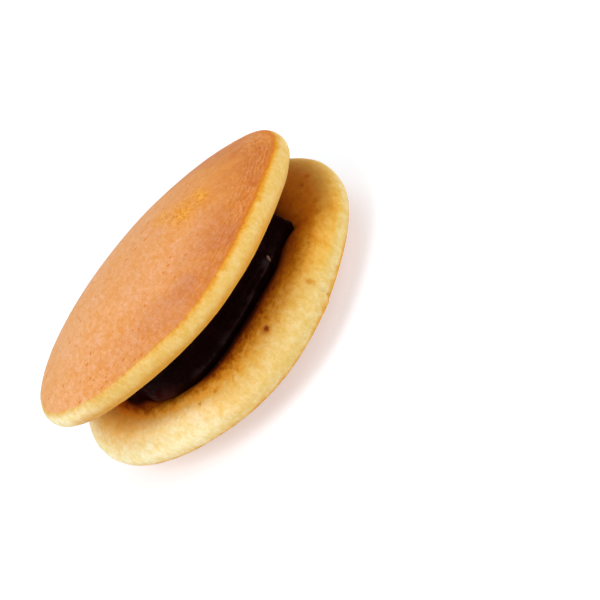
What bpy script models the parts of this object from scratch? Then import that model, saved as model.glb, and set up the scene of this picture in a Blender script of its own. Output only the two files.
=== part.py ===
"""A dorayaki: two round griddle cakes, browned faces outward, round a mound of sweet bean paste.

The sweet lies flat on its lower cake. The upper cake is tipped back over the paste, so the pair pinch
together at the far rim and gape towards -Y like a clam, where the paste shows.

Metres, +Z up. The origin is the middle of the flat spot under the lower cake, which it rests on.
"""

import math
from collections import namedtuple

import bmesh
import bpy
from mathutils import Euler, Matrix, Vector

# A cake's section has three parts: a browned face that bulges outward, a pale wall that is widest just
# on the browned side of its middle, and an inner face with a shallow cup for the paste.
#   radius    out to the widest part of the wall
#   rim       thickness of the wall
#   dome      rise of the browned face from its edge to its crown
#   fullness  power of the dome's curve: 2 is a parabola, more is flatter on top
#   flat      radius of the level spot at the crown
#   cup       depth of the cup in the inner face
#   waves     unevenness of the round outline: number of lobes, depth, bearing of one crest in degrees
Cake = namedtuple("Cake", "radius rim dome fullness flat cup waves")

UPPER_CAKE = Cake(
    radius=0.0457, rim=0.0067, dome=0.0074, fullness=2.2, flat=0.0, cup=0.0030,
    waves=((3, 0.0006, 13), (4, 0.0006, 4), (5, 0.0005, -12)))
LOWER_CAKE = Cake(
    radius=0.0459, rim=0.0074, dome=0.0075, fullness=1.7, flat=0.020, cup=0.0030,
    waves=((3, 0.0003, 14), (4, 0.0005, -4), (5, 0.0004, -17)))

# Pose of the upper cake: the middle of its rim, from the middle of the lower cake's rim, and its tilt.
UPPER_OFFSET = Vector((-0.0018, 0.0017, 0.0143))
TIP_BACK = math.radians(-10.1)
TIP_SIDEWAYS = math.radians(1.5)

EDGE_ROUNDING = 0.0013            # reach of the tight turn from the browned face to the wall
EDGE_TURN = math.radians(77)      # how far round that turn the browned face ends
WALL_ROUNDING = 0.0065            # reach of the soft turn from the wall to the inner face
BELLY_OFFSET = 0.0006             # the wall's widest part, from its middle, towards the browned face

NICK_BEARING = math.radians(-63)  # a small nick in the lower cake's wall, where the batter met itself
NICK_WIDTH = math.radians(4)
NICK_DEPTH = 0.0006
NICK_FADE = 12                    # power of the radius by which the nick fades inward from the wall

# The paste's outline on the lower cake: bearing in degrees, distance from the middle. It is flattest in
# front, with a square corner on the right and a broad lobe on the left.
PASTE_OUTLINE = (
    (-174, 0.0295), (-160, 0.0295), (-146, 0.0312), (-135, 0.0315), (-118, 0.0310), (-103, 0.0282),
    (-92, 0.0259), (-67, 0.0258), (-50, 0.0284), (-36, 0.0296), (-29, 0.0330), (-20, 0.0304),
    (0, 0.0284), (45, 0.0275), (90, 0.0260), (135, 0.0275))
# The paste's side, from its foot to where it meets the upper cake: fraction of the outline's radius,
# fraction of the height. It swells a little above its foot and draws in under the upper cake.
PASTE_SIDE = ((0.99, 0.0), (1.01, 0.08), (1.025, 0.2), (1.025, 0.4), (1.01, 0.6), (0.98, 0.8), (0.94, 1.0))
PASTE_FACE_RINGS = 6              # rings of faces from the middle out, above and below
CONTACT_GAP = 0.0003              # left between surfaces that touch

SEGMENTS = 72                     # round each piece
FACE_RINGS = 10                   # rings of faces on a browned face, outside its flat spot
EDGE_STEPS = 4                    # on the tight turn to the wall
WALL_STEPS = 5                    # on the soft turn from the wall to the inner face
CUP_RINGS = 8                     # on the inner face

GRIDDLE_BROWN = (0.60, 0.25, 0.10, 1.0)
CRUMB_YELLOW = (0.82, 0.55, 0.19, 1.0)
BEAN_BLACK = (0.018, 0.006, 0.007, 1.0)


def principled(name, color, roughness):
    """A material of one colour and roughness."""
    material = bpy.data.materials.new(name)
    material.use_nodes = True
    shader = material.node_tree.nodes["Principled BSDF"]
    shader.inputs["Base Color"].default_value = color
    shader.inputs["Roughness"].default_value = roughness
    shader.inputs["Metallic"].default_value = 0.0
    return material


def browned_edge(cake):
    """Radius and height of the edge where the browned face ends, from the middle of the rim."""
    radius = cake.radius - EDGE_ROUNDING * (1 - math.cos(EDGE_TURN))
    height = BELLY_OFFSET + (cake.rim / 2 - BELLY_OFFSET) * math.sin(EDGE_TURN)
    return radius, height


def cup_height(cake, radius):
    """Height of the inner face at a radius: level with the rim at its edge, hollowed in the middle."""
    across = min(radius / (cake.radius - WALL_ROUNDING), 1.0)
    return cake.cup * (1 + math.cos(math.pi * across)) / 2 - cake.rim / 2


def cake_section(cake):
    """Half the section, as (radius, height), from the crown over the wall to the inner face's middle."""
    edge_radius, edge_height = browned_edge(cake)
    points = [(0.0, edge_height + cake.dome)]
    if cake.flat:
        points.append((cake.flat, edge_height + cake.dome))
    for ring in range(1, FACE_RINGS + 1):
        out = ring / FACE_RINGS
        radius = cake.flat + (edge_radius - cake.flat) * out
        points.append((radius, edge_height + cake.dome * (1 - out ** cake.fullness)))
    for step in range(EDGE_STEPS):
        turn = EDGE_TURN * (1 - (step + 1) / EDGE_STEPS)
        radius = cake.radius - EDGE_ROUNDING * (1 - math.cos(turn))
        points.append((radius, BELLY_OFFSET + (cake.rim / 2 - BELLY_OFFSET) * math.sin(turn)))
    for step in range(1, WALL_STEPS + 1):
        turn = math.pi / 2 * step / WALL_STEPS
        radius = cake.radius - WALL_ROUNDING * (1 - math.cos(turn))
        points.append((radius, BELLY_OFFSET - (cake.rim / 2 + BELLY_OFFSET) * math.sin(turn)))
    for ring in range(1, CUP_RINGS + 1):
        radius = (cake.radius - WALL_ROUNDING) * (1 - ring / CUP_RINGS)
        points.append((radius, cup_height(cake, radius)))
    return points


def outline_scale(cake, bearing):
    """How far the wavy outline stands out or in at a bearing, as a factor on the radius."""
    swell = sum(depth * math.cos(lobes * (bearing - math.radians(crest)))
                for lobes, depth, crest in cake.waves)
    return 1 + swell / cake.radius


def revolve(section):
    """A closed body turned from a half section about Z."""
    body = bmesh.new()
    points = [body.verts.new((radius, 0.0, height)) for radius, height in section]
    edges = [body.edges.new(pair) for pair in zip(points, points[1:])]
    bmesh.ops.spin(body, geom=points + edges, cent=(0, 0, 0), axis=(0, 0, 1), angle=2 * math.pi,
                   steps=SEGMENTS, use_merge=True, use_duplicate=False)
    bmesh.ops.remove_doubles(body, verts=body.verts, dist=1e-6)
    return body


def add_object(name, body, material):
    """Turns a finished bmesh into a smooth-shaded object with one material."""
    body.normal_update()
    bmesh.ops.recalc_face_normals(body, faces=body.faces)
    mesh = bpy.data.meshes.new(name)
    body.to_mesh(mesh)
    body.free()
    mesh.shade_smooth()
    mesh.materials.append(material)
    piece = bpy.data.objects.new(name, mesh)
    bpy.context.collection.objects.link(piece)
    return piece


def nick_depth(bearing, radius, cake):
    """Depth of the nick at a bearing, fading inward from the wall."""
    away = (bearing - NICK_BEARING) / NICK_WIDTH
    return NICK_DEPTH * math.exp(-away * away) * (radius / cake.radius) ** NICK_FADE


def build_cake(name, cake, browned_up, nicked, material):
    """One cake, its rim's middle at the object's origin, its browned face up or down."""
    body = revolve(cake_section(cake))
    side = 1 if browned_up else -1
    for vert in body.verts:
        radius = math.hypot(vert.co.x, vert.co.y)
        bearing = math.atan2(vert.co.y, vert.co.x)
        spread = radius * outline_scale(cake, bearing)
        if nicked:
            spread -= nick_depth(bearing, radius, cake)
        vert.co = (spread * math.cos(bearing), spread * math.sin(bearing), side * vert.co.z)
    return add_object(name, body, material)


def rest_height(cake):
    """Height of the rim's middle when the cake rests on its browned face."""
    return browned_edge(cake)[1] + cake.dome


def lower_face(x, y):
    """World height of the lower cake's inner face."""
    radius = math.hypot(x, y) / outline_scale(LOWER_CAKE, math.atan2(y, x))
    return rest_height(LOWER_CAKE) - cup_height(LOWER_CAKE, radius)


def upper_face(x, y, placement):
    """World height of the upper cake's inner face above a point, found by stepping onto the tilted cup."""
    to_cake = placement.inverted()
    up = placement.to_3x3().col[2].z
    height = placement.translation.z
    for _ in range(6):
        local = to_cake @ Vector((x, y, height))
        radius = math.hypot(local.x, local.y) / outline_scale(UPPER_CAKE, math.atan2(local.y, local.x))
        height += (cup_height(UPPER_CAKE, radius) - local.z) * up
    return height


def paste_radius(bearing):
    """Distance out to the paste's outline at a bearing, on a smooth curve through its points."""
    degrees = math.degrees(bearing)
    count = len(PASTE_OUTLINE)
    first = max((i for i, (at, _) in enumerate(PASTE_OUTLINE) if at <= degrees), default=count - 1)
    before, start, end, after = (PASTE_OUTLINE[(first + step) % count] for step in (-1, 0, 1, 2))
    span = (end[0] - start[0]) % 360
    along = ((degrees - start[0]) % 360) / span
    slope_in = (end[1] - before[1]) / ((end[0] - before[0]) % 360) * span
    slope_out = (after[1] - start[1]) / ((after[0] - start[0]) % 360) * span
    square, cube = along ** 2, along ** 3
    return (start[1] * (2 * cube - 3 * square + 1) + slope_in * (cube - 2 * square + along)
            + end[1] * (3 * square - 2 * cube) + slope_out * (cube - square))


def build_paste(name, placement, material):
    """The mound of paste: a unit section turned round, then fitted between the cakes' inner faces."""
    foot = [(PASTE_SIDE[0][0] * ring / PASTE_FACE_RINGS, 0.0) for ring in range(PASTE_FACE_RINGS)]
    top = [(PASTE_SIDE[-1][0] * ring / PASTE_FACE_RINGS, 1.0) for ring in range(PASTE_FACE_RINGS)]
    body = revolve(foot + list(PASTE_SIDE) + top[::-1])
    for vert in body.verts:
        bearing = math.atan2(vert.co.y, vert.co.x)
        distance = math.hypot(vert.co.x, vert.co.y) * paste_radius(bearing)
        x, y = distance * math.cos(bearing), distance * math.sin(bearing)
        low = lower_face(x, y) + CONTACT_GAP
        high = upper_face(x, y, placement) - CONTACT_GAP
        vert.co = (x, y, low + (high - low) * vert.co.z)
    return add_object(name, body, material)


for old in list(bpy.data.objects):
    bpy.data.objects.remove(old, do_unlink=True)

lower_place = Vector((0, 0, rest_height(LOWER_CAKE)))
upper_place = lower_place + UPPER_OFFSET
upper_turn = Euler((TIP_BACK, TIP_SIDEWAYS, 0))
upper_placement = Matrix.LocRotScale(upper_place, upper_turn, None)

bottom_cake = build_cake("bottom_cake", LOWER_CAKE, False, True, principled("crumb", CRUMB_YELLOW, 0.7))
bottom_cake.location = lower_place

build_paste("bean_paste", upper_placement, principled("bean_paste", BEAN_BLACK, 0.35))

top_cake = build_cake("top_cake", UPPER_CAKE, True, False, principled("griddled_face", GRIDDLE_BROWN, 0.6))
top_cake.location = upper_place
top_cake.rotation_euler = upper_turn
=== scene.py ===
"""The looks of a dorayaki: two browned griddle cakes round a mound of dark bean paste, lying open to -Y."""

import math
from collections import namedtuple

import bmesh
import bpy
from mathutils import Euler, Matrix, Vector, noise


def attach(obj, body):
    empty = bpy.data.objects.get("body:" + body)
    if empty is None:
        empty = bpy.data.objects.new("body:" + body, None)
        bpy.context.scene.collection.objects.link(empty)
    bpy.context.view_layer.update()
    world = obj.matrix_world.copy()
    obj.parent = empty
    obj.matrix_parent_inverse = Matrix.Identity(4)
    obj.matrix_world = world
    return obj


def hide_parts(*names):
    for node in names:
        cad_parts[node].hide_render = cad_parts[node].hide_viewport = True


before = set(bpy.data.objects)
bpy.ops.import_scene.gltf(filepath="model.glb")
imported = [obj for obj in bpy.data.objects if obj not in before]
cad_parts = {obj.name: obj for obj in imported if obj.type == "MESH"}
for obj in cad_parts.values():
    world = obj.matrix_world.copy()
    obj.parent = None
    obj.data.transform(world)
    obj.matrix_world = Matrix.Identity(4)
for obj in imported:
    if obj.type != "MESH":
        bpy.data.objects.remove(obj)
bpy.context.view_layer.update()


# ------------------------------------------------------------------------------------------ table
# The table that the sweet lies on: a sheet of matt opal glass, lit from below as well as above, so
# that it reads as plain white with a faint shadow. It is wide enough to fill the view.

TABLE_RADIUS = 4.0
TABLE_SIDES = 96
MM_IN_METRE = 1000.0


def tone(red, green, blue):
    """A colour as it reads on a screen, 0 to 255, as the linear colour that a shader takes."""
    shares = (part / 255 for part in (red, green, blue))
    return tuple(share / 12.92 if share <= 0.04045 else ((share + 0.055) / 1.055) ** 2.4
                 for share in shares) + (1.0,)


def node(tree, kind, sockets=None, **settings):
    """Adds a shader node. Each socket, by name or number, is set to a value or linked to a socket."""
    made = tree.nodes.new("ShaderNode" + kind)
    for key, value in settings.items():
        setattr(made, key, value)
    for key, value in (sockets or {}).items():
        if isinstance(value, bpy.types.NodeSocket):
            tree.links.new(value, made.inputs[key])
        else:
            made.inputs[key].default_value = value
    return made


def new_material(name, **sockets):
    """An empty node material: its tree and its Principled shader, with the given sockets set."""
    material = bpy.data.materials.new(name)
    material.use_nodes = True
    tree = material.node_tree
    shader = tree.nodes["Principled BSDF"]
    for key, value in sockets.items():
        shader.inputs[key.replace("_", " ")].default_value = value
    return material, tree, shader


def finish_piece(name, body, material):
    """Turns a finished bmesh into a smooth-shaded object at the origin."""
    mesh = bpy.data.meshes.new(name)
    body.to_mesh(mesh)
    body.free()
    mesh.shade_smooth()
    mesh.materials.append(material)
    piece = bpy.data.objects.new(name, mesh)
    bpy.context.scene.collection.objects.link(piece)
    return piece


def millimetres(tree):
    """The piece's own coordinates, in millimetres, for patterns to read."""
    place = node(tree, "TexCoord").outputs["Object"]
    return node(tree, "Mapping", {"Vector": place, "Scale": (MM_IN_METRE,) * 3}).outputs["Vector"]


def grain(tree, where, size, detail=2.0, roughness=0.5, stretch=(1, 1, 1)):
    """Soft noise, about 0.5 on average, with lumps of that size in millimetres."""
    place = node(tree, "Mapping", {"Vector": where, "Scale": [1 / (size * part) for part in stretch]})
    return node(tree, "TexNoise", {"Vector": place.outputs["Vector"], "Scale": 1.0, "Detail": detail,
                                   "Roughness": roughness}).outputs["Fac"]


def layered(tree, under, over, cover, blend="MIX"):
    """One colour laid over another, as far as cover says."""
    mix = node(tree, "Mix", data_type="RGBA", blend_type=blend)
    for socket, value in ((mix.inputs[0], cover), (mix.inputs[6], under), (mix.inputs[7], over)):
        if isinstance(value, bpy.types.NodeSocket):
            tree.links.new(value, socket)
        else:
            socket.default_value = value
    return mix.outputs[2]


def bumpy(tree, heights):
    """A bump chain from (height socket, depth in millimetres) pairs, as the normal for a shader."""
    normal = None
    for height, depth in heights:
        bump = node(tree, "Bump", {"Height": height, "Strength": 1.0, "Distance": depth / MM_IN_METRE})
        if normal is not None:
            tree.links.new(normal, bump.inputs["Normal"])
        normal = bump.outputs["Normal"]
    return normal


opal, tree, shader = new_material(
    "matt_opal_glass", Roughness=0.7, Specular_IOR_Level=0.2, Emission_Color=(1.0, 1.0, 1.0, 1.0),
    Emission_Strength=0.45)
where = millimetres(tree)
tree.links.new(layered(tree, tone(205, 213, 220), tone(201, 209, 216), grain(tree, where, 60.0)),
               shader.inputs["Base Color"])
tree.links.new(bumpy(tree, [(grain(tree, where, 0.8), 0.004)]), shader.inputs["Normal"])

body = bmesh.new()
bmesh.ops.create_circle(body, cap_ends=True, radius=TABLE_RADIUS, segments=TABLE_SIDES)
table = finish_piece("table", body, opal)


# ------------------------------------------------------------------------------------- lower cake
# The cake that the sweet lies on: a disc of egg sponge batter, poured on a hot plate, turned once
# its bubbles opened, and laid browned face down. Its inner face is pale, with toasted freckles.

# A cake's section: a browned face that bulges outward, a wall that is widest just on the browned
# side of its middle, and an inner face with a shallow cup for the paste. waves holds the unevenness
# of the round outline, as number of lobes, depth, and bearing of one crest in degrees.
Cake = namedtuple("Cake", "radius rim dome fullness flat cup waves")
LOWER_CAKE = Cake(
    radius=0.0459, rim=0.0074, dome=0.0075, fullness=1.7, flat=0.020, cup=0.0030,
    waves=((3, 0.0003, 14), (4, 0.0005, -4), (5, 0.0004, -17)))

EDGE_ROUNDING = 0.0013            # reach of the tight turn from the browned face to the wall
EDGE_TURN = math.radians(77)      # how far round that turn the browned face ends
WALL_ROUNDING = 0.0065            # reach of the soft turn from the wall to the inner face
BELLY_OFFSET = 0.0006             # the wall's widest part, from its middle, towards the browned face

FIRST_STEPS = 180                 # facets round the axis, doubled past each of the limits below
DOUBLING_LIMITS = (0.012, 0.024)
FACE_STEP = 0.0005                # from ring to ring on the browned face
EDGE_BAND = 0.005                 # the outer band of that face, where its skin wrinkles
EDGE_STEP = 0.00025               # from ring to ring in that band
EDGE_RINGS = 13                   # on the tight turn
WALL_RINGS = 21                   # on the soft turn
INNER_STEP = 0.0006               # from ring to ring on the inner face, where it shows
HIDDEN_REACH = 0.024              # the paste covers the inner face out to here
HIDDEN_STEP = 0.003               # from ring to ring under the paste

PASTE_OUTLINE = (                 # bearing in degrees, distance from the middle
    (-174, 0.0302), (-160, 0.0302), (-146, 0.0312), (-135, 0.0315), (-118, 0.0310), (-103, 0.0284),
    (-92, 0.0262), (-67, 0.0259), (-50, 0.0284), (-38, 0.0293), (-33, 0.0311), (-30.5, 0.0334),
    (-28, 0.0322), (-20, 0.0303), (0, 0.0284), (45, 0.0275), (90, 0.0260), (135, 0.0275))
MERGE_REACH = 1e-6                # points closer than this are joined after a turn


def smooth_step(value, low, high):
    """0 below low, 1 above high, and a smooth rise between them."""
    share = min(max((value - low) / (high - low), 0.0), 1.0)
    return share * share * (3 - 2 * share)


def curve_through(knots, at):
    """Value at a place on the smooth curve through (place, value) knots."""
    last = len(knots) - 2
    first = max((i for i, (place, _) in enumerate(knots[:-1]) if place <= at), default=0)
    before, start, end, after = (knots[min(max(first + step, 0), last + 1)] for step in (-1, 0, 1, 2))
    span = end[0] - start[0]
    along = (at - start[0]) / span
    slope_in = (end[1] - before[1]) / (end[0] - before[0]) * span
    slope_out = (after[1] - start[1]) / (after[0] - start[0]) * span
    square, cube = along ** 2, along ** 3
    return (start[1] * (2 * cube - 3 * square + 1) + slope_in * (cube - 2 * square + along)
            + end[1] * (3 * square - 2 * cube) + slope_out * (cube - square))


# The paste's outline, carried on past a full turn at both ends, so that its curve closes smoothly.
PASTE_ROUND = ([(bearing - 360, reach) for bearing, reach in PASTE_OUTLINE[-2:]] + list(PASTE_OUTLINE)
               + [(bearing + 360, reach) for bearing, reach in PASTE_OUTLINE[:2]])


def paste_reach(bearing):
    """Distance out to the paste's outline at a bearing."""
    return curve_through(PASTE_ROUND, math.degrees(bearing))


def browned_edge(cake):
    """Radius and height of the edge where the browned face ends, from the middle of the rim."""
    radius = cake.radius - EDGE_ROUNDING * (1 - math.cos(EDGE_TURN))
    height = BELLY_OFFSET + (cake.rim / 2 - BELLY_OFFSET) * math.sin(EDGE_TURN)
    return radius, height


def cup_height(cake, radius):
    """Height of the inner face at a radius: level with the rim at its edge, hollowed in the middle."""
    across = min(radius / (cake.radius - WALL_ROUNDING), 1.0)
    return cake.cup * (1 + math.cos(math.pi * across)) / 2 - cake.rim / 2


def outline_scale(cake, bearing):
    """How far the wavy outline stands out or in at a bearing, as a factor on the radius."""
    wave = sum(depth * math.cos(lobes * (bearing - math.radians(crest)))
               for lobes, depth, crest in cake.waves)
    return 1 + wave / cake.radius


def spaced(start, end, step):
    """Evenly spaced numbers from start up to, but without, end."""
    count = max(1, round(abs(end - start) / step))
    return [start + (end - start) * i / count for i in range(count)]


def cake_section(cake):
    """Half the section as (distance from the axis, height from the rim's middle, distance past the
    browned edge along the surface), from the crown over the wall to the inner face's middle."""
    edge_reach, edge_height = browned_edge(cake)
    points = []
    for reach in spaced(0, edge_reach - EDGE_BAND, FACE_STEP) + spaced(edge_reach - EDGE_BAND, edge_reach,
                                                                       EDGE_STEP):
        out = max(reach - cake.flat, 0.0) / (edge_reach - cake.flat)
        points.append((reach, edge_height + cake.dome * (1 - out ** cake.fullness)))
    edge = len(points)
    for turn in spaced(EDGE_TURN, 0, EDGE_TURN / EDGE_RINGS):
        points.append((cake.radius - EDGE_ROUNDING * (1 - math.cos(turn)),
                       BELLY_OFFSET + (cake.rim / 2 - BELLY_OFFSET) * math.sin(turn)))
    for turn in spaced(0, math.pi / 2, math.pi / 2 / WALL_RINGS):
        points.append((cake.radius - WALL_ROUNDING * (1 - math.cos(turn)),
                       BELLY_OFFSET - (cake.rim / 2 + BELLY_OFFSET) * math.sin(turn)))
    inner = cake.radius - WALL_ROUNDING
    for reach in spaced(inner, HIDDEN_REACH, INNER_STEP) + spaced(HIDDEN_REACH, 0, HIDDEN_STEP) + [0.0]:
        points.append((reach, cup_height(cake, reach)))
    lengths = [0.0]
    for start, end in zip(points, points[1:]):
        lengths.append(lengths[-1] + math.dist(start, end))
    return [(*point, length - lengths[edge]) for point, length in zip(points, lengths)]


def turn_into_skin(body, points, steps):
    """Joins points into a line and turns it once round the Z axis."""
    edges = [body.edges.new(pair) for pair in zip(points, points[1:])]
    bmesh.ops.spin(body, geom=points + edges, cent=(0, 0, 0), axis=(0, 0, 1), angle=2 * math.pi,
                   steps=steps, use_merge=True, use_duplicate=False)
    bmesh.ops.remove_doubles(body, verts=body.verts, dist=MERGE_REACH)


def turned_cake(cake, side):
    """The plain form of a cake, its browned face towards +Z or -Z, with its section's figures kept on
    its points. The outer rings are split, so that the facets stay small and even out to the wall."""
    body = bmesh.new()
    reach, height, past = (body.verts.layers.float.new(name) for name in ("reach", "height", "past_edge"))
    points = []
    for figures in cake_section(cake):
        point = body.verts.new((figures[0], 0.0, figures[1]))
        point[reach], point[height], point[past] = figures
        points.append(point)
    turn_into_skin(body, points, FIRST_STEPS)
    for limit in DOUBLING_LIMITS:
        ring_edges = [edge for edge in body.edges
                      if edge.verts[0][reach] > limit and edge.verts[0][reach] == edge.verts[1][reach]
                      and edge.verts[0][height] == edge.verts[1][height]]
        bmesh.ops.subdivide_edges(body, edges=ring_edges, cuts=1)
    for vert in body.verts:
        bearing = math.atan2(vert.co.y, vert.co.x)
        spread = vert[reach] * outline_scale(cake, bearing)
        vert.co = (spread * math.cos(bearing), spread * math.sin(bearing), side * vert[height])
    body.normal_update()
    bmesh.ops.recalc_face_normals(body, faces=body.faces)
    body.normal_update()
    return body


def swell(place, relief, seed):
    """How far soft lumps of that relief, a depth and a size, lift or sink a place."""
    depth, size = relief
    return depth * noise.noise(place / size + Vector((seed, 2.3 * seed, 5.1 * seed)))


CELL_SCATTER = 731.0              # takes neighbouring cells so far apart that each has its own luck


def pits(place, relief, seed):
    """How deep a place lies, 0 to 1, in one of the round pits that a share of the cells hold."""
    spacing, radius, share = relief
    away, centres = noise.voronoi(place / spacing + Vector((seed, 1.7 * seed, 3.9 * seed)))
    luck = 0.5 + 0.5 * noise.cell(centres[0] * CELL_SCATTER)
    if luck > share:
        return 0.0
    inside = max(1 - (away[0] * spacing / radius) ** 2, 0.0)
    return inside * inside


EDGE_WANDER = ((0.000252, 0.0035), (0.000252, 0.0012))  # of the browned edge: depth, size
UNDULATION = (0.00010, 0.013)     # the browned face's slow unevenness
SKIN_GRAIN = (0.000014, 0.0009)   # its leathery grain
SKIN_STEP = 0.00006               # the browned skin stands proud of the wall by this
SKIN_END = (-0.0001, 0.0002)      # distance past the browned edge over which that step falls away
PINHOLES = (0.0023, 0.0007, 0.35)  # that bubbles left in the skin: spacing, radius, share of the cells
PINHOLE_DEPTH = 0.00006
WALL_LUMPS = (0.00010, 0.006)
OPEN_CRUMB = ((0.00003, 0.0022), (0.00002, 0.0009))   # of the wall and the inner face
BURST_BUBBLES = (0.0023, 0.0008, 0.5)                 # in the inner face
BUBBLE_DEPTH = 0.00013
INNER_START = (0.0075, 0.0115)    # distance past the browned edge over which the inner face begins


def add_relief(body, seed, extra):
    """Moves each point out along its normal by the cake's surface relief, and keeps on it how deep it
    lies in a pore, and how far along the uneven browned edge lies. The piece's own extra relief is a
    function of the point's place and its distance past the edge."""
    layers = body.verts.layers.float
    past, pore = layers["past_edge"], layers.new("pore")
    moves = []
    for vert in body.verts:
        place = vert.co
        vert[past] += sum(swell(place, wander, seed) for wander in EDGE_WANDER)
        beyond = vert[past]
        crust = 1 - smooth_step(beyond, *SKIN_END)
        out = swell(place, UNDULATION, seed + 1)
        if crust > 0:
            vert[pore] = pits(place, PINHOLES, seed + 2) * crust
            out += crust * (SKIN_STEP + swell(place, SKIN_GRAIN, seed + 4)) - PINHOLE_DEPTH * vert[pore]
        if crust < 1:
            bubble = smooth_step(beyond, *INNER_START) * pits(place, BURST_BUBBLES, seed + 7)
            vert[pore] = max(vert[pore], bubble)
            crumb = sum(swell(place, relief, seed + 5 + i) for i, relief in enumerate(OPEN_CRUMB))
            out += (1 - crust) * (swell(place, WALL_LUMPS, seed + 8) + crumb) - BUBBLE_DEPTH * bubble
        moves.append(vert.normal * (out + extra(place, beyond)))
    for vert, move in zip(body.verts, moves):
        vert.co += move


def rise(tree, value, low, high, start=0.0, end=1.0):
    """A smooth step of a value from start, at low, to end, at high."""
    return node(tree, "MapRange", {"Value": value, "From Min": low, "From Max": high, "To Min": start,
                                   "To Max": end}, interpolation_type="SMOOTHSTEP").outputs["Result"]


def sums(tree, operation, first, second):
    """One sum with two numbers or sockets."""
    return node(tree, "Math", {0: first, 1: second}, operation=operation).outputs["Value"]


def product(tree, *values):
    """Numbers and sockets, multiplied together."""
    result = values[0]
    for value in values[1:]:
        result = sums(tree, "MULTIPLY", result, value)
    return result


def shifted(tree, value, pattern, reach):
    """A value moved by a pattern, by up to half of reach either way."""
    return sums(tree, "ADD", value, product(tree, sums(tree, "SUBTRACT", pattern, 0.5), reach))


def ramp(tree, value, span, stops):
    """The colour at a value from 0 to span, on a line through (value, colour) stops."""
    chart = node(tree, "ValToRGB", {"Fac": sums(tree, "DIVIDE", value, span)})
    marks = chart.color_ramp.elements
    for mark, (place, colour) in ((marks[0], stops[0]), (marks[1], stops[-1])):
        mark.position, mark.color = place / span, colour
    for place, colour in stops[1:-1]:
        marks.new(place / span).color = colour
    return chart.outputs["Color"]


def coats(tree, colour, layers, blend="MIX"):
    """A colour under one coat after another, each as its colour and its covers, which are multiplied."""
    for over, *covers in layers:
        colour = layered(tree, colour, over, product(tree, *covers), blend)
    return colour


GRAIN_RANGE = (0.32, 0.68)        # most of a grain's values lie in here


def mottled(tree, colour, mottles):
    """A colour made darker and lighter in the grain of each pattern, by factors on red, green, blue."""
    for pattern, dark, light in mottles:
        factor = layered(tree, (*dark, 1.0), (*light, 1.0), rise(tree, pattern, *GRAIN_RANGE))
        colour = layered(tree, colour, factor, 1.0, "MULTIPLY")
    return colour


# What a cake's material reads at a point, in mm: its place, also as x and y alone, and how far it lies
# past the browned edge and away from the paste. Then how deep it lies in a pore and in a patch of
# opened bubbles, 0 to 1, and four patterns, from the finest on.
Surface = namedtuple("Surface", "place x y past away pore opened fine coarse patches freckles")

GRAIN_SIZES = ((0.42, 3.0), (1.2, 3.0), (2.6, 3.0), (1.5, 1.0))  # size in mm, and detail
GRAIN_STRETCH = (0.85, 1.7, 1.0)
HOLE_STRETCH = (1.0, 0.65, 1.0)   # of the opened bubbles' holes
WRINKLE_LENGTH = 2.5              # mm along the skin's edge
WRINKLE_WIDTH = 0.55

STAIN_AND_SHADE_SPAN = 20.0                 # mm from the paste over which its stain and the painted shade beside it fade
STAIN_AND_SHADE = (                         # distance, and the crumb's colour there: stain, with painted shade, darkest by the paste
    (0.0, tone(56, 14, 2)), (0.9, tone(84, 26, 3)), (1.8, tone(128, 56, 6)), (2.8, tone(158, 80, 7)),
    (4.6, tone(186, 104, 9)), (6.5, tone(208, 131, 19)), (8.5, tone(226, 157, 46)),
    (10.5, tone(232, 169, 63)), (13.0, tone(232, 180, 81)), (15.5, tone(225, 184, 96)))
STAIN_AND_SHADE_END = 19.0                  # from here on it has the wall's colour
SPOT_SQUASH = 0.55                # a toasted fleck is longer along y


def read_surface(tree):
    """The figures that a cake's material reads at each point."""
    place = millimetres(tree)
    axes = node(tree, "SeparateXYZ", {"Vector": place}).outputs
    past, away, pore, opened = (
        node(tree, "Attribute", attribute_name=key).outputs["Fac"]
        for key in ("past_edge", "from_paste", "pore", "opened"))
    patterns = [grain(tree, place, size, detail, roughness=0.6, stretch=GRAIN_STRETCH)
                for size, detail in GRAIN_SIZES]
    return Surface(place, axes["X"], axes["Y"], product(tree, past, MM_IN_METRE),
                   product(tree, away, MM_IN_METRE), pore, opened, *patterns)


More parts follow.
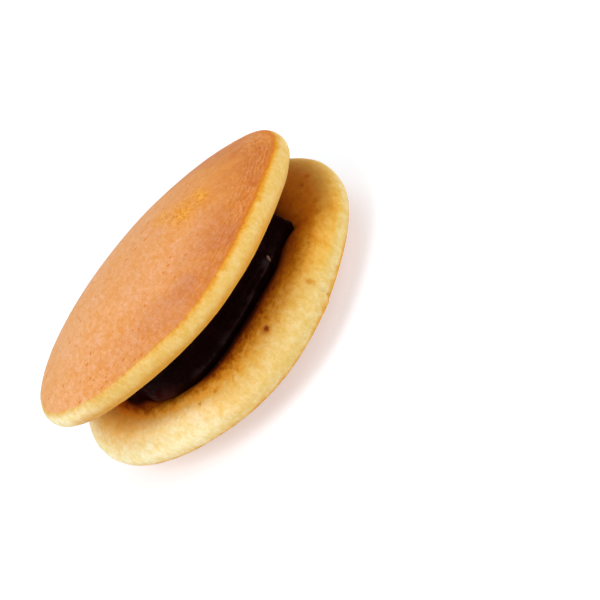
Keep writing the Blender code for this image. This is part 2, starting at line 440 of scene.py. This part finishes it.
def browned_colour(tree, at, uneven, wrinkles, wrinkled):
    """The skin: tan where the heat was mild, browner to +X and towards its edge. uneven is the distance
    past that edge, made irregular, and wrinkled is how far the wrinkles' pattern shows."""
    baked = product(tree, rise(tree, at.x, -46.0, 8.0), rise(tree, at.past, -23.0, -3.0, 0.3, 1.0),
                    rise(tree, at.x, 38.0, 45.0, 1.0, 0.25))
    golder = rise(tree, at.x, 0.0, 36.0)
    colour = layered(tree, layered(tree, tone(229, 165, 109), tone(218, 145, 66), golder),
                     layered(tree, tone(193, 121, 74), tone(194, 115, 54), golder), baked)
    clouds = grain(tree, at.place, 11.0)
    rows = node(tree, "Mapping", {"Vector": at.place, "Scale": HOLE_STRETCH}).outputs["Vector"]
    holes = node(tree, "TexVoronoi", {"Vector": rows, "Scale": 1.05}).outputs["Distance"]
    colour = coats(tree, colour, (
        # gold clouds, pinholes, and the patches of opened bubbles with their holes
        (tone(222, 148, 66), rise(tree, clouds, 0.45, 0.62, 0.0, 0.3)),
        (tone(206, 118, 40), rise(tree, at.pore, 0.05, 0.55, 0.0, 0.85)),
        (tone(225, 153, 52), at.opened, rise(tree, at.patches, 0.38, 0.6, 0.3, 0.8)),
        (tone(213, 129, 2), at.opened, rise(tree, holes, 0.50, 0.34)),
        # the wrinkles: floors darker, partly their colour and partly painted shade, and backs lighter, a
        # painted highlight
        (tone(180, 92, 22), wrinkled, rise(tree, wrinkles, 0.48, 0.64, 0.0, 0.6)),
        (tone(216, 145, 90), wrinkled, rise(tree, wrinkles, 0.46, 0.3, 0.0, 0.45)),
        # the darker border to +X, and the dark gold line at the very edge
        (tone(199, 113, 26), rise(tree, uneven, -2.0, -0.7), rise(tree, at.x, -4.0, 28.0, 0.0, 0.82)),
        (tone(203, 125, 20), rise(tree, uneven, -0.6, -0.2), rise(tree, at.x, -20.0, 34.0, 0.0, 0.9))))
    return mottled(tree, colour, (
        (at.fine, (0.955, 0.925, 0.82), (1.045, 1.075, 1.18)),
        (at.coarse, (0.975, 0.90, 0.68), (1.025, 1.10, 1.33)),
        (at.patches, (0.985, 0.94, 0.80), (1.015, 1.06, 1.20))))


def from_stain_and_shade(tree, at):
    """Distance from the paste as its stain and the painted shade beside it show: they reach least far at
    the -X end, where painted shadow, tinted as by a thin smear of paste, darkens the crumb again, and never
    reach the wall."""
    scale = sums(tree, "ADD", rise(tree, at.x, -23.6, -4.0, 0.35, 1.0),
                 rise(tree, at.x, 12.0, 36.0, 0.0, 0.2))
    # how far, along x, the stain with its painted shade reaches out or falls short
    ramp_shift = sums(tree, "ADD", rise(tree, at.x, -21.0, -10.0, 3.4, -0.6),
               sums(tree, "SUBTRACT", rise(tree, at.x, 4.0, 24.0, 0.0, 1.5),
                    rise(tree, at.x, -21.0, -27.0, 0.0, 1.8)))
    near = sums(tree, "ADD", sums(tree, "DIVIDE", at.away, scale), rise(tree, at.past, 6.0, 1.5, 0.0, 9.0))
    near = sums(tree, "ADD", near, product(tree, ramp_shift, rise(tree, at.away, 8.0, 1.0)))
    # painted shadow of the upper cake at the -X end, tinted as by a smear of paste
    smear_and_shadow = product(tree, rise(tree, at.x, -27.5, -31.0, 0.0, 5.5), rise(tree, at.away, 6.0, 3.0))
    return sums(tree, "SUBTRACT", near, smear_and_shadow)


def crumb_colour(tree, at, uneven, wall, dusk, pale_span, pale_past, edge_gold, turn_gold, spots):
    """The crumb. wall is its plain colour, and dusk how far it dulls to +X. It is palest, partly painted
    light, up to the first x of pale_span, less so up to the second, and from pale_past on past the edge.
    edge_gold is how gold it is by the skin at the -X end, and the figure after it how gold, partly painted
    shade, it is where it turns inward. Each spot is a toasted fleck, as its place, its radius and its
    colour."""
    near = from_stain_and_shade(tree, at)
    # The stain and its painted shade are taken up unevenly.
    stir = shifted(tree, shifted(tree, 0.0, at.patches, 8.0), at.coarse, 9.0)
    stir = product(tree, stir, rise(tree, at.x, 6.0, 22.0, 1.0, 0.45),
                   rise(tree, near, 12.0, 17.0, 1.0, 0.25), rise(tree, near, 1.5, 4.5))
    stirred = sums(tree, "MAXIMUM", sums(tree, "ADD", near, stir), product(tree, near, 0.6))
    colour = ramp(tree, stirred, STAIN_AND_SHADE_SPAN, STAIN_AND_SHADE + ((STAIN_AND_SHADE_END, wall),))
    colour = coats(tree, colour, (
        # the rim paler to -X, partly painted light from that side, and toasted freckles on the inner face
        (tone(243, 226, 173), rise(tree, at.x, pale_span[1], pale_span[0]), rise(tree, near, 13.0, 30.0),
         rise(tree, at.past, 0.2, pale_past)),
        (tone(198, 124, 26), rise(tree, near, 3.0, 7.0), rise(tree, near, 20.0, 10.0, 0.0, 0.5),
         rise(tree, at.x, 6.0, 24.0, 1.0, 0.35), rise(tree, at.freckles, 0.58, 0.70)),
        # painted shade of the recess between the cakes at the +X end: the rim browner there, and the crumb
        # deep gold inside it
        (tone(179, 119, 36), rise(tree, at.past, 2.8, 9.4), rise(tree, at.x, 30.0, 41.0, 0.0, 0.86)),
        (tone(204, 110, 2), rise(tree, at.past, 8.5, 13.0), rise(tree, at.x, 24.0, 36.0, 0.0, 0.6))))
    colour = coats(tree, colour, (
        # factors: duller to +X, brighter to -X beyond the stain and its painted shade, and warmer at the -X
        # end
        ((0.94, 0.975, 1.0, 1.0), rise(tree, at.x, -15.0, 10.0, 0.0, dusk), rise(tree, at.past, 11.0, 7.0)),
        ((1.15, 1.07, 0.97, 1.0), rise(tree, at.x, -8.0, -24.0), rise(tree, near, 7.0, 13.0),
         rise(tree, near, 36.0, 24.0)),
        ((1.06, 0.79, 0.42, 1.0), rise(tree, at.x, -29.0, -34.0), rise(tree, at.y, -31.0, -7.0),
         rise(tree, at.past, 5.5, 12.0))), "MULTIPLY")
    # The distance past the edge, for the turn inward and for the gold beside the skin, wider to +X.
    turned = sums(tree, "ADD", at.past, sums(tree, "SUBTRACT", rise(tree, at.x, -22.0, -40.0, 0.0, 0.8),
                                             rise(tree, at.x, 0.0, 20.0, 0.0, 0.4)))
    wider = product(tree, rise(tree, at.x, 6.0, 16.0, 0.0, 0.6 * dusk), rise(tree, at.x, 36.0, 28.0))
    fringe = sums(tree, "SUBTRACT", shifted(tree, at.past, at.patches, 1.6), wider)
    colour = coats(tree, colour, (
        # gold where the wall turns inward, partly painted shade there, and gold beside the skin, with a
        # toasted seam right against it
        (tone(206, 140, 34), rise(tree, turned, 2.8, 5.9), rise(tree, at.x, -48.0, -38.0, 0.0, turn_gold),
         rise(tree, at.x, 20.0, 36.0, 1.0, 0.4)),
        (tone(211, 148, 31), rise(tree, fringe, 1.8, 0.0), rise(tree, at.x, -46.0, 4.0, edge_gold, 0.95)),
        (tone(204, 122, 26), rise(tree, at.x, -38.0, -26.0, 0.0, 0.45), rise(tree, at.x, 12.0, -4.0),
         rise(tree, uneven, 0.6, 0.0)),
        # the burst bubbles
        (tone(150, 74, 6), rise(tree, at.pore, 0.1, 0.8), rise(tree, near, 3.0, 15.0, 0.5, 0.12))))
    # The toasted flecks, whose edges are ragged.
    flat = node(tree, "VectorMath", {0: at.place, 1: (1.0, SPOT_SQUASH, 0.0)}, operation="MULTIPLY")
    for (x, y), radius, spot_colour in spots:
        off = node(tree, "VectorMath", {0: flat.outputs["Vector"], 1: (x, SPOT_SQUASH * y, 0.0)},
                   operation="DISTANCE")
        off = shifted(tree, off.outputs["Value"], at.fine, radius)
        colour = layered(tree, colour, spot_colour, rise(tree, off, radius, 0.2 * radius))
    return mottled(tree, colour, (
        (at.fine, (0.975, 0.965, 0.91), (1.025, 1.035, 1.09)),
        (at.coarse, (0.97, 0.94, 0.80), (1.03, 1.055, 1.20)),
        (at.patches, (0.98, 0.93, 0.76), (1.02, 1.06, 1.22))))


def sponge_material(name, **crumb_looks):
    """Egg sponge: browned skin up to the uneven edge, then crumb. Fine wrinkles run along the skin's
    edge, most of all to +X."""
    material, tree, shader = new_material(
        name, Roughness=0.62, Specular_IOR_Level=0.1, Subsurface_Weight=0.35, Subsurface_Scale=0.0012,
        Subsurface_Radius=(1.0, 0.55, 0.25), Sheen_Weight=0.14, Sheen_Roughness=0.2,
        Sheen_Tint=tone(255, 232, 206))
    at = read_surface(tree)
    along = node(tree, "CombineXYZ", {
        "X": sums(tree, "DIVIDE", at.x, WRINKLE_LENGTH), "Y": sums(tree, "DIVIDE", at.y, WRINKLE_LENGTH),
        "Z": sums(tree, "DIVIDE", at.past, WRINKLE_WIDTH)})
    wrinkles = grain(tree, along.outputs["Vector"], 1.0, 1.0)
    wrinkled = product(tree, rise(tree, at.past, -13.0, -2.0), rise(tree, at.x, -5.0, 25.0, 0.2, 1.0))
    uneven = shifted(tree, at.past, at.coarse, 2.0)
    ragged = shifted(tree, at.past, at.fine, 0.9)
    colour = layered(tree, browned_colour(tree, at, uneven, wrinkles, wrinkled),
                     crumb_colour(tree, at, uneven, **crumb_looks), rise(tree, ragged, -0.10, 0.14))
    tree.links.new(colour, shader.inputs["Base Color"])
    tree.links.new(rise(tree, at.coarse, 0.3, 0.7, 0.54, 0.68), shader.inputs["Roughness"])
    lines = product(tree, wrinkles, wrinkled, rise(tree, at.past, 0.3, -0.1))
    tree.links.new(bumpy(tree, [(lines, 0.07), (at.coarse, 0.05), (at.fine, 0.05)]),
                   shader.inputs["Normal"])
    return material


NICK_BEARING = math.radians(-63)  # where the batter met itself and left a short crease in the wall
NICK_WIDTH = math.radians(0.8)
NICK_DEPTH = 0.0008
NICK_START = (-0.0005, 0.0005)    # distance past the browned edge over which the crease begins
NICK_END = (0.0025, 0.0050)       # and over which it ends
LIP_HEIGHT = 0.00045              # the wall stands proud on one side of the crease
LIP_SPAN = math.radians(8)

TOASTED_SPOTS = (                 # place and radius in mm, and colour
    ((4.7, -37.3), 2.0, tone(206, 136, 48)), ((5.0, -37.3), 1.15, tone(146, 62, 12)),
    ((20.2, -37.8), 1.1, tone(207, 152, 64)), ((41.2, -4.6), 1.0, tone(184, 103, 10)),
    ((38.6, -5.7), 0.8, tone(176, 94, 8)), ((37.4, -16.8), 1.3, tone(178, 108, 18)),
    ((-11.3, -33.6), 1.1, tone(200, 124, 24)), ((-7.5, -35.2), 1.0, tone(204, 130, 30)),
    ((-3.0, -33.2), 1.2, tone(190, 114, 18)), ((-14.4, -36.5), 0.8, tone(212, 144, 44)),
    ((-19.1, -34.5), 0.8, tone(216, 150, 50)))

# The height of the middle of the lower cake's rim above the table.
lower_middle = browned_edge(LOWER_CAKE)[1] + LOWER_CAKE.dome


def lower_extra(place, beyond):
    """The crease in the wall, and the lip beside it."""
    turn = math.atan2(place.y, place.x) - NICK_BEARING
    wall = smooth_step(beyond, *NICK_START) * (1 - smooth_step(beyond, *NICK_END))
    slit = NICK_DEPTH * math.exp(-(turn / NICK_WIDTH) ** 2)
    lip = LIP_HEIGHT * math.exp(turn / LIP_SPAN) if turn < 0 else 0.0
    return wall * (lip - slit)


body = turned_cake(LOWER_CAKE, side=-1)
add_relief(body, seed=3.0, extra=lower_extra)
from_paste = body.verts.layers.float.new("from_paste")
for vert in body.verts:
    vert[from_paste] = math.hypot(vert.co.x, vert.co.y) - paste_reach(math.atan2(vert.co.y, vert.co.x))
    vert.co.z = max(vert.co.z + lower_middle, 0.0)
lower_cake = finish_piece("lower_cake", body, sponge_material(
    "sponge_lower", wall=tone(226, 193, 121), dusk=1.0, pale_span=(-27.0, -11.0), pale_past=4.6,
    edge_gold=0.95, turn_gold=0.0, spots=TOASTED_SPOTS))
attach(lower_cake, "root")
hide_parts("bottom_cake")


# ------------------------------------------------------------------------------------- bean paste
# A scoop of sweet red beans, boiled down with sugar until nearly black and spread on the lower cake
# with a spatula. It is smooth and dense, sticks to both cakes and bulges a little where it is open.

UPPER_CAKE = Cake(
    radius=0.0457, rim=0.0067, dome=0.0074, fullness=2.2, flat=0.0, cup=0.0030,
    waves=((3, 0.0006, 13), (4, 0.0006, 4), (5, 0.0005, -12)))
UPPER_OFFSET = Vector((-0.0018, 0.0017, 0.0143))  # from the middle of the lower cake's rim
UPPER_TURN = Euler((math.radians(-10.1), math.radians(1.5), 0))  # tipped back, and a little aside
placement = Matrix.LocRotScale(Vector((0, 0, lower_middle)) + UPPER_OFFSET, UPPER_TURN, None)

PASTE_SIDE = (                    # share of the height, share of the outline's distance
    (0.0, 0.995), (0.08, 1.015), (0.2, 1.03), (0.4, 1.025), (0.6, 1.01), (0.8, 0.98), (1.0, 0.94))
PASTE_GAP = 0.00012               # clear of the cakes
STEPS_TO_CUP = 6                  # towards the upper cake's cup, each from where the last one ended
PASTE_FOLDS = (                   # bearing, its span, share of the height, its span, how far out
    (-58, 11, 0.27, 0.07, 0.0009),      # a ridge low along the open side
    (-77, 12, 0.19, 0.07, 0.0009),
    (-97, 13, 0.15, 0.07, 0.0009),
    (-113, 7, 0.20, 0.08, 0.0007),
    (-85, 44, 0.38, 0.09, -0.0006),     # the hollow above it
    (-54, 3, 0.38, 0.06, 0.0005),       # a small knob
    (-136, 7, 0.22, 0.16, 0.0015),      # a lobe at the foot of the -X end
    (-141, 9, 0.62, 0.20, -0.0008),     # and the hollows above and beside it
    (-150, 5, 0.30, 0.35, -0.0010),
    (-12, 22, 0.50, 0.38, -0.0021),     # the steep +X end
    (-38, 5, 0.55, 0.25, -0.0005))
PASTE_STEPS = 400                 # round the mound
PASTE_SIDE_RINGS = 56
PASTE_FACE_RINGS = 10
PASTE_MARKS = (                   # depth, how often they come round it and up it, start in the noise
    (0.00028, 3.4, 5.5, 0.0),     # the long shallow marks that the spatula left
    (0.00012, 5.0, 17.0, 3.0))    # and its fine ones
MARKS_FADE = 0.15                 # of the height, where the mound meets a cake
PASTE_LUMPS = (0.00022, 0.0045)   # depth and size
PASTE_FINE = (0.00004, 0.0013)
MOUND_HEIGHT = 0.010              # about, for the lumps to be as tall as they are wide


def lower_face(x, y):
    """World height of the lower cake's inner face."""
    radius = math.hypot(x, y) / outline_scale(LOWER_CAKE, math.atan2(y, x))
    return lower_middle - cup_height(LOWER_CAKE, radius)


def upper_face(x, y):
    """World height of the upper cake's inner face above a point, found by stepping onto its cup."""
    to_cake = placement.inverted()
    height = placement.translation.z
    for _ in range(STEPS_TO_CUP):
        local = to_cake @ Vector((x, y, height))
        radius = math.hypot(local.x, local.y) / outline_scale(UPPER_CAKE, math.atan2(local.y, local.x))
        height += (cup_height(UPPER_CAKE, radius) - local.z) * placement.col[2].z
    return height


def fold_share(fold, bearing, share):
    """How far a place on the mound's side lies in a fold, 0 to 1."""
    turn = (math.degrees(bearing) - fold[0]) / fold[1]
    return math.exp(-turn * turn - ((share - fold[2]) / fold[3]) ** 2)


def paste_spot(bearing, share, out=1.0):
    """A place on the mound: a bearing, a share of the height, and a share of the way out to its side."""
    reach = paste_reach(bearing) * curve_through(PASTE_SIDE, share)
    ring = Vector((math.cos(bearing), math.sin(bearing), 0))
    spot = ring * reach + Vector((0, 0, share * MOUND_HEIGHT))
    reach += swell(spot, PASTE_LUMPS, seed=21) + swell(spot, PASTE_FINE, seed=22)
    reach += sum(fold[4] * fold_share(fold, bearing, share) for fold in PASTE_FOLDS)
    open_side = smooth_step(share, 0.0, MARKS_FADE) * (1 - smooth_step(share, 1 - MARKS_FADE, 1.0))
    for depth, round_it, up_it, start in PASTE_MARKS:
        around = Vector((ring.x * round_it, ring.y * round_it, share * up_it + start))
        reach += depth * noise.noise(around) * open_side
    x, y, _ = ring * reach * out
    low, high = lower_face(x, y) + PASTE_GAP, upper_face(x, y) - PASTE_GAP
    return Vector((x, y, low + (high - low) * share))


body = bmesh.new()
share_layer, out_layer = (body.verts.layers.float.new(name) for name in ("share", "out"))
section = [(step / PASTE_FACE_RINGS, 0.0) for step in range(PASTE_FACE_RINGS)]
section += [(1.0, step / PASTE_SIDE_RINGS) for step in range(PASTE_SIDE_RINGS + 1)]
section += [(out, 1.0) for out, _ in section[PASTE_FACE_RINGS - 1::-1]]
points = []
for out, share in section:
    point = body.verts.new((out, 0.0, share))
    point[out_layer], point[share_layer] = out, share
    points.append(point)
turn_into_skin(body, points, PASTE_STEPS)
sheen = body.verts.layers.float.new("sheen")
for vert in body.verts:
    bearing, share = math.atan2(vert.co.y, vert.co.x), vert[share_layer]
    raised = sum(fold_share(fold, bearing, share) for fold in PASTE_FOLDS if fold[4] > 0)
    vert[sheen] = min(raised * vert[out_layer], 1.0)
    vert.co = paste_spot(bearing, share, vert[out_layer])
body.normal_update()
bmesh.ops.recalc_face_normals(body, faces=body.faces)

# The paste is dark and dull, and its syrup shines only where it stands proud and in scattered flecks.
paste, tree, shader = new_material("bean_paste", Specular_Tint=tone(236, 208, 214))
where = millimetres(tree)
mashed = grain(tree, where, 2.4, detail=4.0, roughness=0.6)
skins = grain(tree, where, 0.7, detail=3.0, roughness=0.6)
across = node(tree, "SeparateXYZ", {"Vector": where}).outputs["X"]
colour = layered(tree, tone(14, 2, 1), tone(22, 5, 4), rise(tree, mashed, 0.45, 0.7))
colour = layered(tree, colour, tone(40, 14, 8), rise(tree, skins, 0.62, 0.75, 0.0, 0.4))
proud = node(tree, "Attribute", attribute_name="sheen").outputs["Fac"]
end = shifted(tree, across, mashed, 6.0)
colour = coats(tree, colour, (
    # redder at the -X end, and a painted highlight, a lighter red-brown, on the lobe that stands proud
    # there
    (tone(34, 3, 2), rise(tree, end, -21.0, -27.0, 0.0, 0.8)),
    (tone(62, 20, 15), proud, rise(tree, across, -17.0, -21.0, 0.0, 0.7))))
tree.links.new(colour, shader.inputs["Base Color"])
shine = sums(tree, "ADD", rise(tree, skins, 0.52, 0.75, 0.015, 0.07),
             product(tree, proud, rise(tree, mashed, 0.38, 0.6, 0.05, 0.20)))
shine = product(tree, shine, rise(tree, end, -27.0, -21.0, 0.2, 1.0))
tree.links.new(shine, shader.inputs["Specular IOR Level"])
tree.links.new(rise(tree, mashed, 0.3, 0.7, 0.4, 0.56), shader.inputs["Roughness"])
tree.links.new(bumpy(tree, [(mashed, 0.12), (skins, 0.05)]), shader.inputs["Normal"])

bean_paste = finish_piece("paste", body, paste)
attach(bean_paste, "root")
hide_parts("bean_paste")


# -------------------------------------------------------------------------------------- bean skin
# A scrap of bean skin that the mash left whole: a thin, pale flake, tougher than the bean's flesh, that
# curled as the beans boiled. It lies in the open side of the paste, and its edges sink into the syrup.

FLECK_BEARING = math.radians(-50.4)
FLECK_SHARE = 0.32                # of the mound's height
FLECK_ROLL = -0.75                # how far it lies turned on the mound's side, in radians
FLECK_SIZE = (0.0010, 0.0019)     # across and along
FLECK_OVAL = 0.26                 # half length of its oval, squared, where the sheet's is 0.25
FLECK_TIP = 0.0004                # what is left of that at the tips, so that they are blunt
FLECK_RAGGED = (0.25, 4)          # how unevenly its sides run, as a share, and how often
FLECK_CURL = 0.00045
FLECK_SINK = 0.0002               # how deep its edges lie in the paste
FLECK_CRUMPLE = (0.00012, 3)      # of its face: depth, and how often
FLECK_THICKNESS = 0.00012
FLECK_CELLS = 14
ROUND_STEP, UP_STEP = 0.02, 0.05  # on the mound, to either side of the fleck, to find how it faces

body = bmesh.new()
bmesh.ops.create_grid(body, x_segments=FLECK_CELLS, y_segments=FLECK_CELLS, size=0.5)
for vert in body.verts:
    x, y = vert.co.x, vert.co.y
    ragged = FLECK_RAGGED[0] * noise.noise(Vector((FLECK_RAGGED[1] * x, FLECK_RAGGED[1] * y, 7)))
    width = 2 * math.sqrt(max(FLECK_OVAL - y * y, FLECK_TIP)) * (1 + ragged)
    crumple = FLECK_CRUMPLE[0] * noise.noise(Vector((FLECK_CRUMPLE[1] * x, FLECK_CRUMPLE[1] * y, 2)))
    vert.co = (FLECK_SIZE[0] * x * width, FLECK_SIZE[1] * y,
               FLECK_CURL * (1 - 4 * x * x) - FLECK_SINK + crumple)
bmesh.ops.solidify(body, geom=body.faces[:], thickness=FLECK_THICKNESS)
middle = paste_spot(FLECK_BEARING, FLECK_SHARE)
side = (paste_spot(FLECK_BEARING + ROUND_STEP, FLECK_SHARE)
        - paste_spot(FLECK_BEARING - ROUND_STEP, FLECK_SHARE)).normalized()
upward = (paste_spot(FLECK_BEARING, FLECK_SHARE + UP_STEP)
          - paste_spot(FLECK_BEARING, FLECK_SHARE - UP_STEP))
outward = side.cross(upward).normalized()
facing = Matrix((side, outward.cross(side), outward)).transposed().to_4x4()
bmesh.ops.transform(body, matrix=Matrix.Translation(middle) @ facing @ Matrix.Rotation(FLECK_ROLL, 4, "Z"),
                    verts=body.verts)
body.normal_update()
bmesh.ops.recalc_face_normals(body, faces=body.faces)

skin, tree, shader = new_material("bean_skin", Specular_IOR_Level=0.5)
where = millimetres(tree)
colour = layered(tree, tone(84, 50, 38), tone(132, 100, 82), rise(tree, grain(tree, where, 0.5), 0.4, 0.6))
tree.links.new(colour, shader.inputs["Base Color"])
tree.links.new(rise(tree, grain(tree, where, 0.3), 0.3, 0.7, 0.35, 0.5), shader.inputs["Roughness"])
bean_skin = finish_piece("bean_skin_fleck", body, skin)
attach(bean_skin, "root")


# ------------------------------------------------------------------------------------- upper cake
# The second cake, of the same batter, laid over the paste browned face up and tipped back, so that
# the two pinch at the far rim. Heat left its skin tan, with pinholes and patches of opened bubbles.

BROWNING_END = (                  # x, and how far short of the turn the browning stops there
    (-0.048, 0.0007), (-0.038, 0.0006), (-0.028, 0.0002), (-0.015, 0.0007), (-0.005, -0.0003),
    (0.005, 0.0001), (0.014, 0.0005), (0.025, 0.0010), (0.037, 0.0007), (0.043, -0.0001), (0.048, -0.0002))
PATCHES = (                       # of bubbles: x and y of the middle, and reach along x and y
    (0.0158, -0.0080, 0.0056, 0.0100), (0.0212, -0.0090, 0.0042, 0.0080), (0.0113, 0.0004, 0.0032, 0.0050))
PATCH_FADE = (0.2, 1.2)           # share of its reach over which a patch thins out
PATCH_HOLES = (0.0013, 0.0006, 0.7)  # spacing, radius, share of the cells
PATCH_SQUASH = 0.5                # its holes are twice as long along y
PATCH_DEPTH = 0.00012
DENT_MIDDLE = Vector((-0.0065, 0.0035, 0.0104))  # a faint trough beside the crown
DENT_ALONG = Vector((0.88, 0.47, 0.0))
DENT_SIZE = (0.006, 0.0022)
DENT_DEPTH = 0.00022
OFF_THE_PASTE = 0.05              # the stain and its painted shade aren't drawn on this cake, whose inner face is out of sight


def in_patch(place):
    """How far a place lies in a patch of opened bubbles, 0 to 1."""
    return max(1 - smooth_step(math.hypot((place.x - x) / wide, (place.y - y) / long), *PATCH_FADE)
               for x, y, wide, long in PATCHES)


def upper_extra(place, beyond):
    """The patches of opened bubbles, and the trough."""
    away = place - DENT_MIDDLE
    along = away.dot(DENT_ALONG)
    across = away.dot(Vector((-DENT_ALONG.y, DENT_ALONG.x, 0.0)))
    trough = math.exp(-(along / DENT_SIZE[0]) ** 2 - (across / DENT_SIZE[1]) ** 2)
    opened = in_patch(place)
    if opened:
        opened *= pits(Vector((place.x, PATCH_SQUASH * place.y, 0.0)), PATCH_HOLES, seed=31.0)
    return -PATCH_DEPTH * opened - (DENT_DEPTH * trough if beyond < 0 else 0.0)


body = turned_cake(UPPER_CAKE, side=1)
past = body.verts.layers.float["past_edge"]
for vert in body.verts:
    vert[past] += curve_through(BROWNING_END, vert.co.x)
add_relief(body, seed=11.0, extra=upper_extra)
from_paste, opened = (body.verts.layers.float.new(name) for name in ("from_paste", "opened"))
for vert in body.verts:
    vert[from_paste] = OFF_THE_PASTE
    vert[opened] = in_patch(vert.co)
bmesh.ops.transform(body, matrix=placement, verts=body.verts)
upper_cake = finish_piece("upper_cake", body, sponge_material(
    "sponge_upper", wall=tone(223, 184, 105), dusk=0.4, pale_span=(-44.0, -30.0), pale_past=2.0,
    edge_gold=0.1, turn_gold=0.9, spots=()))
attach(upper_cake, "root")
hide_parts("top_cake")


# --------------------------------------------------------------------------------- light and camera
# A studio's soft light: a broad lamp to the left and in front, fainter ones to the right and above, and
# white walls all round. The camera stands half a metre off and is rolled, as the sweet leans in the
# photograph.

KEY_PLACE = Vector((-0.40, -0.32, 0.72))
KEY_SIZE = 0.5
KEY_POWER = 3.9
SIDE_PLACE = Vector((0.62, -0.42, 0.38))
SIDE_SIZE = 0.6
SIDE_POWER = 2.8
TOP_PLACE = Vector((0.15, 0.15, 0.9))
TOP_SIZE = 0.9
TOP_POWER = 2.8
WALL_LIGHT = 0.42
CAMERA_PLACE = Vector((0.01535, -0.44488, 0.23998))
CAMERA_DOWN = math.radians(29.185)
CAMERA_ROLL = math.radians(-51.904)
LENS_MM = 116.88


def soft_lamp(name, place, size, power, colour):
    """A square lamp that faces the sweet."""
    lamp = bpy.data.lights.new(name, "AREA")
    lamp.energy, lamp.size, lamp.color = power, size, colour
    piece = bpy.data.objects.new(name, lamp)
    piece.location = place
    piece.rotation_euler = (-place).to_track_quat("-Z", "Y").to_euler()
    bpy.context.scene.collection.objects.link(piece)


soft_lamp("key_lamp", KEY_PLACE, KEY_SIZE, KEY_POWER, (1.0, 0.98, 0.95))
soft_lamp("side_lamp", SIDE_PLACE, SIDE_SIZE, SIDE_POWER, (1.0, 1.0, 1.0))
soft_lamp("top_lamp", TOP_PLACE, TOP_SIZE, TOP_POWER, (1.0, 1.0, 1.0))

world = bpy.data.worlds.new("white_room")
world.use_nodes = True
world.node_tree.nodes["Background"].inputs["Color"].default_value = (1.0, 1.0, 1.0, 1.0)
world.node_tree.nodes["Background"].inputs["Strength"].default_value = WALL_LIGHT
bpy.context.scene.world = world
bpy.context.scene.view_settings.view_transform = "Standard"

camera = bpy.data.objects.new("camera", bpy.data.cameras.new("camera"))
camera.data.lens = LENS_MM
camera.location = CAMERA_PLACE
camera.rotation_euler = (Euler((math.pi / 2 - CAMERA_DOWN, 0, 0)).to_matrix()
                         @ Matrix.Rotation(CAMERA_ROLL, 3, "Z")).to_euler()
bpy.context.scene.collection.objects.link(camera)
bpy.context.scene.camera = camera
